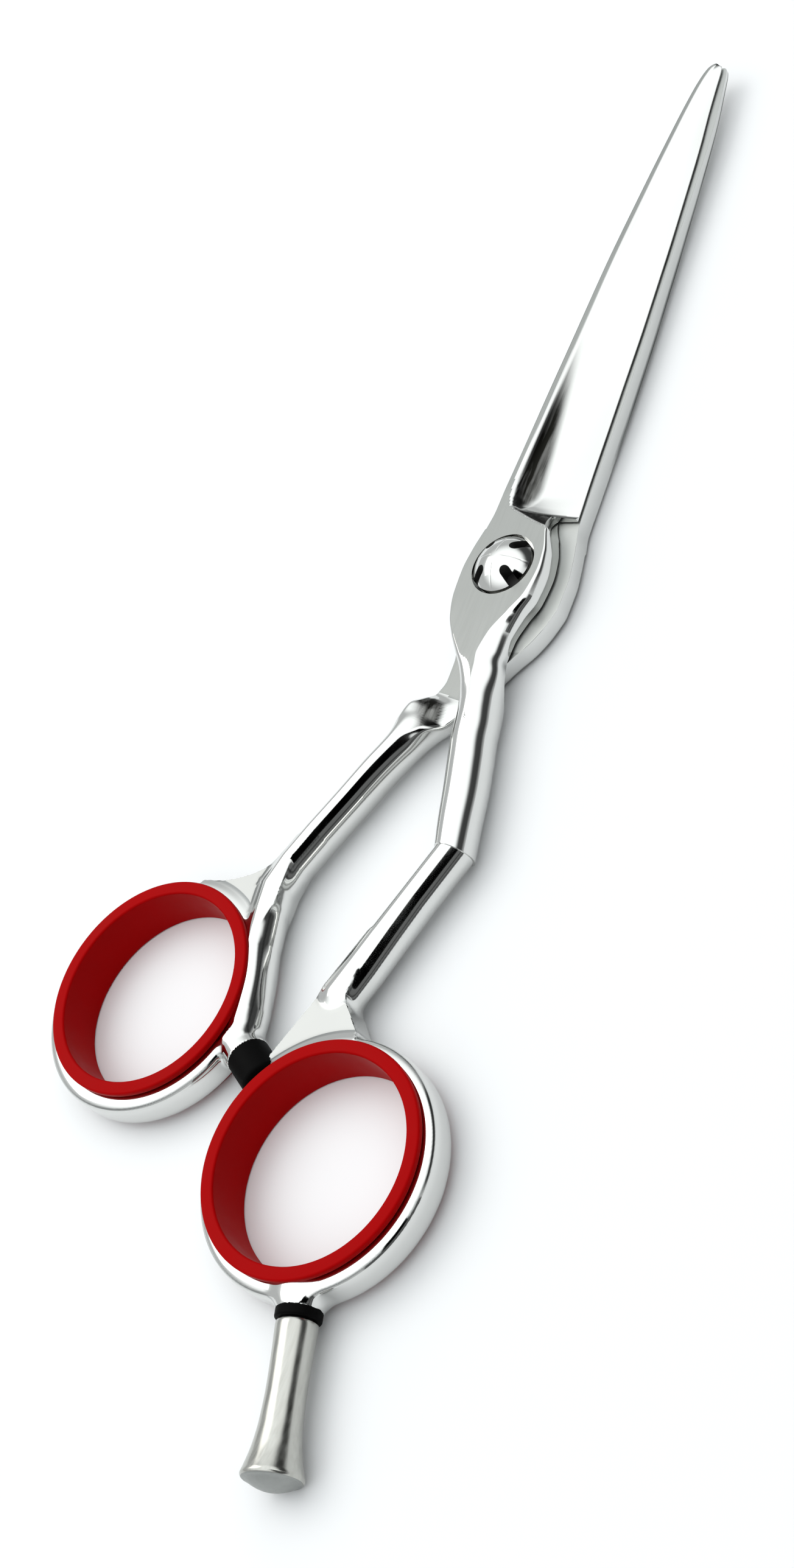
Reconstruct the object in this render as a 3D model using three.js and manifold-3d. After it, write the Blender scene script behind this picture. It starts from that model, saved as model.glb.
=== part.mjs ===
// Left-handed hair cutting shears with offset handles, a screw-in finger rest and a domed pivot screw.
// Millimetres. Z is up, +Y points to the tips, and the pivot axis stands on the origin.
// The shears lie flat on Z = 0: the finger inserts and the pivot nut touch it.
import * as THREE from 'three';
import { mergeVertices } from 'three/addons/utils/BufferGeometryUtils.js';
import Module from 'manifold-3d';

const wasm = await Module();
wasm.setup();

// ---- driving dimensions -------------------------------------------------------------------------
const INSERT_HEIGHT = 5.6; // finger inserts, standing on Z = 0
const PLANE = INSERT_HEIGHT / 2; // height of the plane where the two halves meet
const FIT = 0.3; // clearance between pieces that touch
const FACE_GAP = FIT / 2; // each half stays this far from the meeting plane

const FINGER_RING = new THREE.Vector2(5.2, -66.9);
const THUMB_RING = new THREE.Vector2(-23.4, -52.4);
const FINGER_RING_SHIFT = new THREE.Vector2(0.2, -0.25); // the outer circle sits off the bore's centre
const THUMB_RING_SHIFT = new THREE.Vector2(-0.05, -0.4);
const RING_OUTER = 13.25;
const RING_INNER = 11.5;
const RING_HALF_HEIGHT = 1.9;
const RING_ROUND = 1.75;
const INSERT_FLANGE = 12.2;
const INSERT_BARREL = RING_INNER - FIT;
const INSERT_HOLE_TOP = 10.75;
const INSERT_HOLE_BOTTOM = 10.7;
const FLANGE_THICK = INSERT_HEIGHT / 2 - RING_HALF_HEIGHT - FIT;

const BAR_HALF_HEIGHT = 2.05; // handle shanks, rounded bars
const BAR_ROUND = 1.55;
const BOSS_TOP = 2.6; // outer face of the finger half above the meeting plane
const BOSS_BOTTOM = -2.4; // outer face of the thumb half

const HEAD_RADIUS = 3.45;
const HEAD_DOME = 1.7;
const HEAD_EDGE = 0.8;
const COUNTERBORE_RADIUS = 3.75;
const COUNTERBORE_DEPTH = 1.6;
const SCREW_RADIUS = 1.5;
const BORE_CLEARANCE = SCREW_RADIUS + FIT;
const BUSH_RADIUS = 2.6;
const PIVOT_HOLE = BUSH_RADIUS + FIT;
const WASHER_THICK = 0.3;
const NUT_FLANGE = 3.5;
const NUT_FLANGE_THICK = 0.6;
const NUT_RECESS = 0.5; // depth of the nut's seat in the thumb half
const RACE_RADIUS = 3.9; // bearing washer between the halves
const RACE_RECESS = 0.5;

const TANG_HEADING = THREE.MathUtils.degToRad(-75); // finger rest, radial to its ring
const TANG_SEAT = 13.7; // distance from the ring's centre
const TANG_WASHER_THICK = 0.8;
const TANG_WASHER_RADIUS = 2.25;
const TANG_LENGTH = 15.6;
const TANG_STUD = 0.95;
const TANG_STUD_LENGTH = 1.5;

const BUMPER_SEAT = new THREE.Vector2(-9.0, -57.25); // on the thumb ring, facing the finger ring
const BUMPER_RADIUS = 2.25;
const BUMPER_STEM = 0.85;
const BUMPER_STEM_LENGTH = 1.5;

const ROUND_STEPS = 56; // sides of the large rings
const PIN_STEPS = 40; // sides of the pivot pieces

// ---- materials ----------------------------------------------------------------------------------
const metal = (color, roughness) => new THREE.MeshStandardMaterial({ color, roughness, metalness: 1 });
const plastic = (color, roughness) => new THREE.MeshStandardMaterial({ color, roughness, metalness: 0 });
const polishedSteel = metal(0xd4d6d4, 0.08);
const turnedSteel = metal(0xb9bbb8, 0.25);
const bearingBronze = metal(0xb08d57, 0.35);
const redRubber = plastic(0xc00408, 0.38);
const blackRubber = plastic(0x0c0c0d, 0.6);
const whiteNylon = plastic(0xe9e7e0, 0.45);

// ---- solids -------------------------------------------------------------------------------------
function toSolid(geometry) {
  const bare = geometry.clone();
  bare.deleteAttribute('normal');
  bare.deleteAttribute('uv');
  const merged = mergeVertices(bare, 1e-5);
  return new wasm.Manifold(new wasm.Mesh({
    numProp: 3,
    vertProperties: new Float32Array(merged.attributes.position.array),
    triVerts: new Uint32Array(merged.index.array),
  }));
}

function toGeometry(solid) {
  const mesh = solid.getMesh();
  const geometry = new THREE.BufferGeometry();
  geometry.setAttribute('position', new THREE.BufferAttribute(mesh.vertProperties, 3));
  geometry.setIndex(new THREE.BufferAttribute(mesh.triVerts, 1));
  geometry.computeVertexNormals();
  return geometry;
}

// A solid of revolution about Z from an outline of [radius, height] points.
function turned(outline, steps) {
  const points = outline.map(([radius, height]) => new THREE.Vector2(radius, height));
  return new THREE.LatheGeometry(points, steps).rotateX(Math.PI / 2);
}

function turnedSolid(outline, steps) {
  return toSolid(turned(outline, steps));
}

function rod(radius, low, high, steps = PIN_STEPS) {
  return turnedSolid([[0, low], [radius, low], [radius, high], [0, high]], steps);
}

// Lays a solid that stands on Z down along a heading in the plan, starting at a point.
function lay(geometry, start, heading) {
  return geometry
    .rotateY(Math.PI / 2)
    .rotateZ(heading)
    .translate(start.x, start.y, PLANE);
}

// ---- sections: a four-cornered outline with rounded corners ----------------------------------------
const CORNER_STEPS = 3;
const FACE_STEPS = 3;

// Points of a circular arc that rounds the corner of a polygon.
function roundCorner(before, corner, after, radius) {
  const toBefore = before.clone().sub(corner);
  const toAfter = after.clone().sub(corner);
  const halfAngle = toBefore.angleTo(toAfter) / 2;
  const reach = Math.min(radius / Math.tan(halfAngle), 0.48 * toBefore.length(), 0.48 * toAfter.length());
  const start = corner.clone().addScaledVector(toBefore.normalize(), reach);
  const end = corner.clone().addScaledVector(toAfter.normalize(), reach);
  const pull = Math.sin(halfAngle);
  const points = [];
  for (let i = 0; i <= CORNER_STEPS; i++) {
    const t = i / CORNER_STEPS;
    const a = (1 - t) * (1 - t);
    const b = 2 * pull * t * (1 - t);
    const c = t * t;
    const point = start.clone().multiplyScalar(a).addScaledVector(corner, b).addScaledVector(end, c);
    points.push(point.divideScalar(a + b + c));
  }
  return points;
}

// One section of a half. Heights are measured from the meeting plane, and the corners are given
// in the order low left, low right, high right, high left. The crown bows the top face.
function section({ left, right, heights, rounds, crown = 0 }) {
  const span = Math.hypot(right[0] - left[0], right[1] - left[1]);
  const corners = [[0, heights[0]], [span, heights[1]], [span, heights[2]], [0, heights[3]]]
    .map(([across, height]) => new THREE.Vector2(across, height));
  const arcs = corners.map((corner, i) => (
    roundCorner(corners[(i + 3) % 4], corner, corners[(i + 1) % 4], rounds[i])));
  const face = [];
  const from = arcs[2][CORNER_STEPS];
  const to = arcs[3][0];
  for (let i = 1; i <= FACE_STEPS; i++) {
    const t = i / (FACE_STEPS + 1);
    const point = from.clone().lerp(to, t);
    point.y += crown * 4 * t * (1 - t);
    face.push(point);
  }
  return [...arcs[0], ...arcs[1], ...arcs[2], ...face, ...arcs[3]].map((point) => {
    const t = point.x / span;
    const x = left[0] + (right[0] - left[0]) * t;
    const y = left[1] + (right[1] - left[1]) * t;
    return new THREE.Vector3(x, y, PLANE + point.y);
  });
}

// Joins sections of equal point count into one closed skin with flat ends.
function loft(stations) {
  const rings = stations.map(section);
  const count = rings[0].length;
  const positions = rings.flat();
  const index = [];
  for (let r = 0; r + 1 < rings.length; r++) {
    for (let i = 0; i < count; i++) {
      const a = r * count + i;
      const b = r * count + (i + 1) % count;
      index.push(a, b, b + count, a, b + count, a + count);
    }
  }
  for (const [first, forward] of [[0, false], [(rings.length - 1) * count, true]]) {
    const middle = positions.length;
    const centre = new THREE.Vector3();
    for (let i = 0; i < count; i++) centre.add(positions[first + i]);
    positions.push(centre.divideScalar(count));
    for (let i = 0; i < count; i++) {
      const a = first + i;
      const b = first + (i + 1) % count;
      if (forward) index.push(a, b, middle);
      else index.push(b, a, middle);
    }
  }
  const geometry = new THREE.BufferGeometry().setFromPoints(positions);
  geometry.setIndex(index);
  return toSolid(geometry);
}

// A station of a shank: a rounded bar across a heading at a centre.
function bar(x, y, headingDegrees, halfWidth, halfHeight = BAR_HALF_HEIGHT) {
  const heading = THREE.MathUtils.degToRad(headingDegrees);
  const across = [-Math.sin(heading) * halfWidth, Math.cos(heading) * halfWidth];
  return {
    left: [x - across[0], y - across[1]],
    right: [x + across[0], y + across[1]],
    heights: [-halfHeight, -halfHeight, halfHeight, halfHeight],
    rounds: [BAR_ROUND, BAR_ROUND, BAR_ROUND, BAR_ROUND],
    crown: 0.12,
  };
}

// ---- blades: spine and cutting edge as plan curves through a few points ------------------------------
const curveX = (points) => (y) => {
  const last = points.length - 1;
  let i = 0;
  while (i < last - 1 && y < points[i + 1][0]) i++;
  const [y0, x0] = points[i];
  const [y1, x1] = points[i + 1];
  return x0 + (x1 - x0) * (y - y0) / (y1 - y0);
};
const fingerSpine = curveX([[70.8, -0.1], [70.4, -0.6], [69.4, -1.0], [65.4, -1.85], [60, -2.3], [50, -2.7],
  [40, -3.05], [30, -3.35], [20, -3.7], [6, -3.95]]);
const fingerEdge = curveX([[70.8, 0.55], [67.4, 0.95], [58.3, 2.0], [51.2, 2.65], [44, 3.25], [31.6, 4.1],
  [19.5, 4.7], [6, 5.4]]);
const thumbSpine = curveX([[70.9, 0.7], [70.3, 1.15], [67.7, 1.65], [61.3, 2.55], [54, 3.1], [40.3, 3.9],
  [31.6, 4.55], [21.5, 5.1], [6, 5.65]]);
const thumbEdge = curveX([[70.9, 0.3], [70.3, 0.0], [66, -0.6], [60, -1.25], [50, -1.9], [40, -2.35],
  [30, -2.75], [20, -3.1], [6, -3.75]]);
const bladeThickness = curveX([[71, 0.85], [61, 1.1], [50, 1.6], [40, 1.95], [20, 2.2], [6, 2.3]]);
const BLADE_STATIONS = [70.8, 70.4, 69.4, 67.5, 65, 61, 56, 50, 44, 38, 31.5, 25, 19, 13, 6.9];
const EDGE_LAND = 0.15; // thickness left at the cutting edge
const SPINE_LAND = 0.3; // small bevel along the spine

function fingerBlade() {
  return loft(BLADE_STATIONS.map((y) => ({
    left: [fingerSpine(y), y],
    right: [fingerEdge(y), y],
    heights: [FACE_GAP, FACE_GAP, FACE_GAP + EDGE_LAND, bladeThickness(y)],
    rounds: [0.05, 0.05, 0.05, SPINE_LAND],
    crown: -0.06,
  })));
}

function thumbBlade() {
  return loft(BLADE_STATIONS.map((y) => ({
    left: [thumbEdge(y), y],
    right: [thumbSpine(y), y],
    heights: [-FACE_GAP - EDGE_LAND, -bladeThickness(y), -FACE_GAP, -FACE_GAP],
    rounds: [0.05, SPINE_LAND, 0.05, 0.05],
  })));
}

// ---- finger half: upper blade, flat boss, kinked shank, ring and web ---------------------------------
// Plan outline of the boss and neck: y on the left, left x, y on the right, right x, rounding of the
// right and left shoulders, and the depth of the right underside.
const FINGER_BOSS = [
  [7.3, -3.75, 6.2, 3.1, 0.4, 0.1, FACE_GAP],
  [4.7, -4.15, 4.5, 4.0, 0.5, 0.1, FACE_GAP],
  [1.8, -4.8, 1.8, 5.0, 0.5, 0.15, FACE_GAP],
  [-0.7, -5.1, -0.7, 5.25, 0.55, 0.2, FACE_GAP],
  [-3.5, -4.95, -3.4, 5.0, 0.6, 0.25, FACE_GAP],
  [-6.4, -4.3, -5.6, 4.1, 0.7, 0.35, FACE_GAP],
  [-8.6, -3.2, -8.3, 3.4, 0.9, 0.5, FACE_GAP],
  [-10.7, -1.9, -10.4, 3.5, 1.3, 0.7, FACE_GAP],
  [-12.4, -0.95, -12.2, 3.95, 1.6, 0.9, FACE_GAP],
  [-14.5, -0.2, -14.4, 4.25, 1.7, 1.1, -0.6],
];

function fingerBoss() {
  return FINGER_BOSS.map(([leftY, left, rightY, right, roundRight, roundLeft, underRight]) => ({
    left: [left, leftY],
    right: [right, rightY],
    heights: [FACE_GAP, underRight, BOSS_TOP, BOSS_TOP],
    rounds: [0.1, 0.1, roundRight, roundLeft],
  }));
}

function fingerShank() {
  const neck = (y, left, right, underLeft, underRight, top) => ({
    left: [left, y],
    right: [right, y],
    heights: [underLeft, underRight, top, top],
    rounds: [0.6, 0.6, BAR_ROUND, BAR_ROUND],
  });
  return [
    neck(-16.4, 0.35, 4.6, FACE_GAP, -1.5, 2.45),
    neck(-17.8, 0.75, 4.95, -1.3, -1.95, 2.25),
    bar(3.1, -19.0, -79, 2.3),
    bar(3.9, -22.5, -78, 2.15),
    bar(4.75, -26.0, -77, 2.0),
    bar(5.6, -29.6, -77, 1.9),
    bar(6.1, -32.6, -88, 1.95),
    bar(5.4, -35.2, -108, 1.9),
    bar(4.0, -38.4, -111, 1.95),
    bar(2.5, -42.3, -111, 2.15),
    bar(1.0, -46.3, -111, 2.25),
    bar(-0.4, -50.0, -111, 2.3),
    bar(-1.8, -54.0, -111, 1.7, 1.7),
  ];
}

// A ring before its bore is cut, so it reaches in past the bore.
function ringSolid(centre, shift) {
  const inner = RING_INNER - 1;
  const low = PLANE - RING_HALF_HEIGHT;
  const high = PLANE + RING_HALF_HEIGHT;
  const outline = [[inner, low]];
  for (let i = 0; i <= 4; i++) {
    const angle = -Math.PI / 2 + (Math.PI / 8) * i;
    outline.push([
      RING_OUTER - RING_ROUND + RING_ROUND * Math.cos(angle),
      low + RING_ROUND + RING_ROUND * Math.sin(angle),
    ]);
  }
  for (let i = 0; i <= 4; i++) {
    const angle = (Math.PI / 8) * i;
    outline.push([
      RING_OUTER - RING_ROUND + RING_ROUND * Math.cos(angle),
      high - RING_ROUND + RING_ROUND * Math.sin(angle),
    ]);
  }
  outline.push([inner, high], [inner, low]);
  return turnedSolid(outline, ROUND_STEPS).translate([centre.x + shift.x, centre.y + shift.y, 0]);
}

// A thin web between a shank and its ring, from straight and curved plan edges.
function web(start, edges, halfHeight) {
  const shape = new THREE.Shape();
  shape.moveTo(...start);
  for (const edge of edges) {
    if (edge.length === 4) shape.quadraticCurveTo(...edge);
    else shape.lineTo(...edge);
  }
  const depth = 2 * halfHeight;
  const geometry = new THREE.ExtrudeGeometry(shape, { depth, bevelEnabled: false, curveSegments: 8 });
  return toSolid(geometry.translate(0, 0, PLANE - halfHeight));
}

// The space that a finger insert takes up in its ring: the bore and a rebate on both faces.
function insertRoom(centre) {
  const rebate = RING_HALF_HEIGHT + 0.02;
  return rod(RING_INNER, -1, INSERT_HEIGHT + 1, ROUND_STEPS)
    .add(rod(INSERT_FLANGE + FIT, -1, PLANE - rebate, ROUND_STEPS))
    .add(rod(INSERT_FLANGE + FIT, PLANE + rebate, INSERT_HEIGHT + 1, ROUND_STEPS))
    .translate([centre.x, centre.y, 0]);
}

const tangDirection = new THREE.Vector2(Math.cos(TANG_HEADING), Math.sin(TANG_HEADING));
const tangPoint = (distance) => FINGER_RING.clone().addScaledVector(tangDirection, distance);

function fingerHalf() {
  const seatRadius = 2.3;
  const seat = lay(turned([[0, 0], [seatRadius, 0], [seatRadius, 1.5], [0, 1.5]], 24),
    tangPoint(TANG_SEAT - 1.5), TANG_HEADING);
  const drillLength = TANG_STUD_LENGTH + FIT;
  const drill = lay(turned([[0, 0], [TANG_STUD + FIT, 0], [TANG_STUD + FIT, 4], [0, 4]], 24),
    tangPoint(TANG_SEAT - drillLength), TANG_HEADING);
  const webSolid = web([-0.6, -46.5], [[-2.2, -51.5, -4.7, -57.3], [-2, -60], [4, -56], [3.4, -53], [1, -50]], 1.5);
  return loft([...fingerBoss(), ...fingerShank()])
    .add(fingerBlade())
    .add(ringSolid(FINGER_RING, FINGER_RING_SHIFT))
    .add(webSolid)
    .add(toSolid(seat))
    .subtract(insertRoom(FINGER_RING))
    .subtract(toSolid(drill))
    .subtract(rod(PIVOT_HOLE, 0, INSERT_HEIGHT))
    .subtract(rod(COUNTERBORE_RADIUS, PLANE + BOSS_TOP - COUNTERBORE_DEPTH, INSERT_HEIGHT + 1));
}

// ---- thumb half: lower blade, flat boss, stepped shank, ring and web ---------------------------------
const THUMB_BOSS = [
  [7.1, -2.95, 7.1, 5.6],
  [4.7, -3.95, 4.4, 6.1],
  [1.8, -5.0, 2.0, 6.6],
  [-0.7, -5.25, -0.7, 6.9],
  [-3.5, -5.0, -3.2, 6.95],
  [-6.0, -4.6, -5.6, 6.35],
  [-8.4, -4.1, -8.0, 5.2],
  [-10.6, -3.5, -10.2, 3.5],
  [-12.8, -3.45, -13.2, 1.6],
  [-14.4, -4.1, -15.4, 0.5],
];

function thumbBoss() {
  return THUMB_BOSS.map(([leftY, left, rightY, right]) => ({
    left: [left, leftY],
    right: [right, rightY],
    heights: [BOSS_BOTTOM, BOSS_BOTTOM, -FACE_GAP, -FACE_GAP],
    rounds: [0.5, 0.8, 0.1, 0.1],
  }));
}

function thumbShank() {
  const step = (left, right, under, topRight, topLeft) => ({
    left,
    right,
    heights: [under, under, topRight, topLeft],
    rounds: [0.8, 0.8, 0.5, 0.8],
  });
  return [
    step([-4.9, -15.6], [-0.3, -17.0], -2.3, -FACE_GAP, 1.2),
    step([-5.9, -16.7], [-1.1, -18.3], -2.2, 0.1, 2.0),
    step([-6.95, -18.3], [-2.2, -20.0], -BAR_HALF_HEIGHT, 1.5, BAR_HALF_HEIGHT),
    bar(-5.6, -21.2, -116, 2.35),
    bar(-7.3, -24.3, -116, 2.3),
    bar(-9.2, -28.2, -116, 2.2),
    bar(-11.2, -32.1, -115, 2.1),
    bar(-12.8, -35.6, -112, 2.05),
    bar(-13.7, -38.8, -98, 2.1),
    bar(-13.7, -41.6, -82, 2.05),
    bar(-12.9, -45.2, -76, 2.0),
    bar(-11.8, -49.2, -74, 2.0),
    bar(-10.7, -52.8, -74, 2.0),
    bar(-10.3, -55.4, -85, 1.9, 1.9),
    bar(-10.9, -57.4, -110, 1.6, 1.7),
  ];
}

const bumperTarget = FINGER_RING.clone().add(FINGER_RING_SHIFT);
const bumperDirection = bumperTarget.clone().sub(BUMPER_SEAT).normalize();
const bumperHeading = Math.atan2(bumperDirection.y, bumperDirection.x);
const bumperPoint = (distance) => BUMPER_SEAT.clone().addScaledVector(bumperDirection, distance);

function thumbHalf() {
  const seatRadius = 2.35;
  const seat = lay(turned([[0, 0], [seatRadius, 0], [seatRadius, 2.2], [0, 2.2]], 24),
    bumperPoint(-2.2), bumperHeading);
  const depth = BUMPER_STEM_LENGTH + 2 * FIT;
  const drill = lay(turned([
    [0, -depth], [BUMPER_STEM + FIT, -depth], [BUMPER_STEM + FIT, 0],
    [BUMPER_RADIUS + FIT, 0], [BUMPER_RADIUS + FIT, 6], [0, 6],
  ], 24), bumperPoint(0), bumperHeading);
  const webSolid = web([-13.2, -36.5], [[-15.2, -38.8, -21, -39.3], [-22, -41.5], [-14, -46], [-12.5, -41]], 1.5);
  return loft([...thumbBoss(), ...thumbShank()])
    .add(thumbBlade())
    .add(ringSolid(THUMB_RING, THUMB_RING_SHIFT))
    .add(webSolid)
    .add(toSolid(seat))
    .subtract(insertRoom(THUMB_RING))
    .subtract(toSolid(drill))
    .subtract(rod(PIVOT_HOLE, 0, INSERT_HEIGHT))
    .subtract(rod(RACE_RADIUS + FIT, PLANE - FACE_GAP - RACE_RECESS, PLANE + 1))
    .subtract(rod(NUT_FLANGE + FIT, -1, PLANE + BOSS_BOTTOM + NUT_RECESS));
}

// ---- pivot pieces ---------------------------------------------------------------------------------
const HEAD_SEAT = PLANE + BOSS_TOP - COUNTERBORE_DEPTH; // floor of the counterbore
const HEAD_LOW = HEAD_SEAT + FIT + WASHER_THICK + FIT;
const HEAD_RIM = HEAD_LOW + HEAD_EDGE;
const NUT_TOP = PLANE - FACE_GAP - RACE_RECESS - 0.1;
const SCREW_END = NUT_FLANGE_THICK + FIT;
const SLOT_WIDTH = 1.15;
const SLOT_INNER = 1.7;

function domeHeight(radius) {
  const sphere = (HEAD_RADIUS ** 2 + HEAD_DOME ** 2) / (2 * HEAD_DOME);
  return HEAD_RIM + HEAD_DOME - sphere + Math.sqrt(sphere ** 2 - radius ** 2);
}

function pivotScrew() {
  const outline = [[0, SCREW_END], [SCREW_RADIUS, SCREW_END], [SCREW_RADIUS, HEAD_LOW], [HEAD_RADIUS, HEAD_LOW]];
  const rings = 7;
  for (let i = rings; i >= 0; i--) {
    const radius = HEAD_RADIUS * i / rings;
    outline.push([radius, domeHeight(radius)]);
  }
  let solid = turnedSolid(outline, PIN_STEPS);
  const depth = 2.4;
  for (let i = 0; i < 4; i++) {
    const slot = new THREE.BoxGeometry(4, SLOT_WIDTH, depth)
      .translate(SLOT_INNER + 2, 0, HEAD_LOW + 0.35 + depth / 2)
      .rotateZ(Math.PI / 4 + i * Math.PI / 2);
    solid = solid.subtract(toSolid(slot));
  }
  return solid;
}

function flatRing(outer, inner, low, high, steps = PIN_STEPS) {
  return turnedSolid([[inner, low], [outer, low], [outer, high], [inner, high], [inner, low]], steps);
}

function headWasher() {
  return flatRing(HEAD_RADIUS, BORE_CLEARANCE, HEAD_SEAT + FIT, HEAD_SEAT + FIT + WASHER_THICK);
}

function pivotBush() {
  return flatRing(BUSH_RADIUS, BORE_CLEARANCE, PLANE + FACE_GAP, HEAD_SEAT);
}

function bearingWasher() {
  const low = PLANE - FACE_GAP - RACE_RECESS + FIT - 0.1;
  return flatRing(RACE_RADIUS, BORE_CLEARANCE + 0.2, low, low + WASHER_THICK);
}

function pivotNut() {
  return turnedSolid([
    [0, 0], [NUT_FLANGE - 0.15, 0], [NUT_FLANGE, 0.15], [NUT_FLANGE, NUT_FLANGE_THICK],
    [BUSH_RADIUS, NUT_FLANGE_THICK], [BUSH_RADIUS, NUT_TOP], [BORE_CLEARANCE, NUT_TOP],
    [BORE_CLEARANCE, NUT_FLANGE_THICK], [0, NUT_FLANGE_THICK],
  ], PIN_STEPS);
}

// ---- rubber and finger rest -----------------------------------------------------------------------
function fingerInsert(centre) {
  const edge = 0.15;
  const top = INSERT_HEIGHT;
  return turnedSolid([
    [INSERT_HOLE_BOTTOM + edge, 0], [INSERT_FLANGE - edge, 0], [INSERT_FLANGE, edge],
    [INSERT_FLANGE, FLANGE_THICK], [INSERT_BARREL, FLANGE_THICK], [INSERT_BARREL, top - FLANGE_THICK],
    [INSERT_FLANGE, top - FLANGE_THICK], [INSERT_FLANGE, top - edge], [INSERT_FLANGE - edge, top],
    [INSERT_HOLE_TOP + edge, top], [INSERT_HOLE_TOP, top - edge], [INSERT_HOLE_BOTTOM, edge],
    [INSERT_HOLE_BOTTOM + edge, 0],
  ], ROUND_STEPS).translate([centre.x, centre.y, 0]);
}

function bumper() {
  const length = bumperTarget.distanceTo(BUMPER_SEAT) - RING_OUTER - 2 * FIT;
  const edge = 0.4;
  const outline = [
    [0, -BUMPER_STEM_LENGTH - FIT], [BUMPER_STEM, -BUMPER_STEM_LENGTH - FIT], [BUMPER_STEM, 0],
    [BUMPER_RADIUS - edge, 0], [BUMPER_RADIUS, edge], [BUMPER_RADIUS, length - edge],
    [BUMPER_RADIUS - edge, length], [0, length],
  ];
  return toSolid(lay(turned(outline, 24), bumperPoint(FIT), bumperHeading));
}

function tangWasher() {
  const hole = TANG_STUD + FIT;
  const outline = [[hole, 0], [TANG_WASHER_RADIUS, 0], [TANG_WASHER_RADIUS, TANG_WASHER_THICK],
    [hole, TANG_WASHER_THICK], [hole, 0]];
  return toSolid(lay(turned(outline, 28), tangPoint(TANG_SEAT + FIT), TANG_HEADING));
}

// The finger rest: an hourglass grip with a domed end, and its threaded stud.
function tang() {
  const seat = FIT + TANG_WASHER_THICK + FIT;
  const grip = [[1.9, 0], [2.05, 0.2], [1.95, 3], [1.9, 6], [2.0, 9], [2.3, 11.6], [2.8, 13.7], [2.98, 14.3],
    [2.9, 14.65], [2.3, 15.1], [1.2, 15.5], [0, TANG_LENGTH]];
  const outline = [[0, -TANG_STUD_LENGTH], [TANG_STUD, -TANG_STUD_LENGTH], [TANG_STUD, seat]];
  for (const [radius, along] of grip) outline.push([radius, seat + along]);
  return toSolid(lay(turned(outline, 32), tangPoint(TANG_SEAT), TANG_HEADING));
}

// ---- assembly -------------------------------------------------------------------------------------
const shears = new THREE.Group();

function place(group, name, solid, material) {
  const mesh = new THREE.Mesh(toGeometry(solid), material);
  mesh.name = name;
  group.add(mesh);
}

function fingerSide() {
  const group = new THREE.Group();
  place(group, 'finger_half', fingerHalf(), polishedSteel);
  place(group, 'finger_insert', fingerInsert(FINGER_RING), redRubber);
  place(group, 'finger_rest', tang(), polishedSteel);
  place(group, 'finger_rest_washer', tangWasher(), blackRubber);
  place(group, 'pivot_bush', pivotBush(), bearingBronze);
  return group;
}

function thumbSide() {
  const group = new THREE.Group();
  place(group, 'thumb_half', thumbHalf(), polishedSteel);
  place(group, 'thumb_insert', fingerInsert(THUMB_RING), redRubber);
  place(group, 'bumper', bumper(), blackRubber);
  place(group, 'pivot_nut', pivotNut(), turnedSteel);
  place(group, 'bearing_washer', bearingWasher(), whiteNylon);
  return group;
}

function pivotGroup() {
  const group = new THREE.Group();
  place(group, 'pivot_screw', pivotScrew(), polishedSteel);
  place(group, 'head_washer', headWasher(), whiteNylon);
  return group;
}

shears.add(fingerSide(), thumbSide(), pivotGroup());

export default shears;
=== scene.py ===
"""Hair cutting shears: fine meshes, materials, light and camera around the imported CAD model.

Shapes are worked out in millimetres. Heights called w are measured from the plane where the two halves
meet. Each half is a loft of sections from the blade's tip to its shank, and an implicit surface for the
shank's end, the ring and the web, so that those flow into each other with fillets.
"""
import math

import bmesh
import bpy
import numpy as np
from mathutils import Matrix, Vector

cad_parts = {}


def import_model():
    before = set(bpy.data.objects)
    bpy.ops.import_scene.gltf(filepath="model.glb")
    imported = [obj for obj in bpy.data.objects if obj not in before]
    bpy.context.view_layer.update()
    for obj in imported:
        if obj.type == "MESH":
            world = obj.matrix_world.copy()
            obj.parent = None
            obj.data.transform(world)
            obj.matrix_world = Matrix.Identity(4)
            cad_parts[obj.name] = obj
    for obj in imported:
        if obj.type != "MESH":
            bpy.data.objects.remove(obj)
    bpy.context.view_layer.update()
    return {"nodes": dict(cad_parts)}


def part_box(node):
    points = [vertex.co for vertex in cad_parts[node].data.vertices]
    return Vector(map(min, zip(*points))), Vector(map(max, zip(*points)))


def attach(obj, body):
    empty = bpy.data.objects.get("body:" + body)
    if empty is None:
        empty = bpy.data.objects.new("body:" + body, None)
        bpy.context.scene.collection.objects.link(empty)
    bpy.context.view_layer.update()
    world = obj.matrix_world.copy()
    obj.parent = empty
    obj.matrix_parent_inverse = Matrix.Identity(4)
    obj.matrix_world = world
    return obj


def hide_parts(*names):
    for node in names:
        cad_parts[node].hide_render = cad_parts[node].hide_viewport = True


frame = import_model()
np.seterr(divide="ignore", invalid="ignore")  # what a division by zero gives is never used

MM = 0.001
GRID = 0.16  # spacing of the implicit surface's grid


def centre_of(name):
    low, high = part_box(name)
    return np.array((low + high) / 2)[:2] / MM


# ---- sizes from the frame ----
INSERT_LOW, INSERT_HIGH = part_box("finger_insert")
INSERT_HEIGHT = (INSERT_HIGH.z - INSERT_LOW.z) / MM
PLANE = INSERT_HEIGHT / 2
FLANGE = (INSERT_HIGH.x - INSERT_LOW.x) / MM / 2
FINGER_RING = centre_of("finger_insert")
THUMB_RING = centre_of("thumb_insert")
SCREW_LOW, SCREW_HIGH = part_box("pivot_screw")
HEAD_RADIUS = (SCREW_HIGH.x - SCREW_LOW.x) / MM / 2
HEAD_TOP = SCREW_HIGH.z / MM - PLANE

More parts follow.
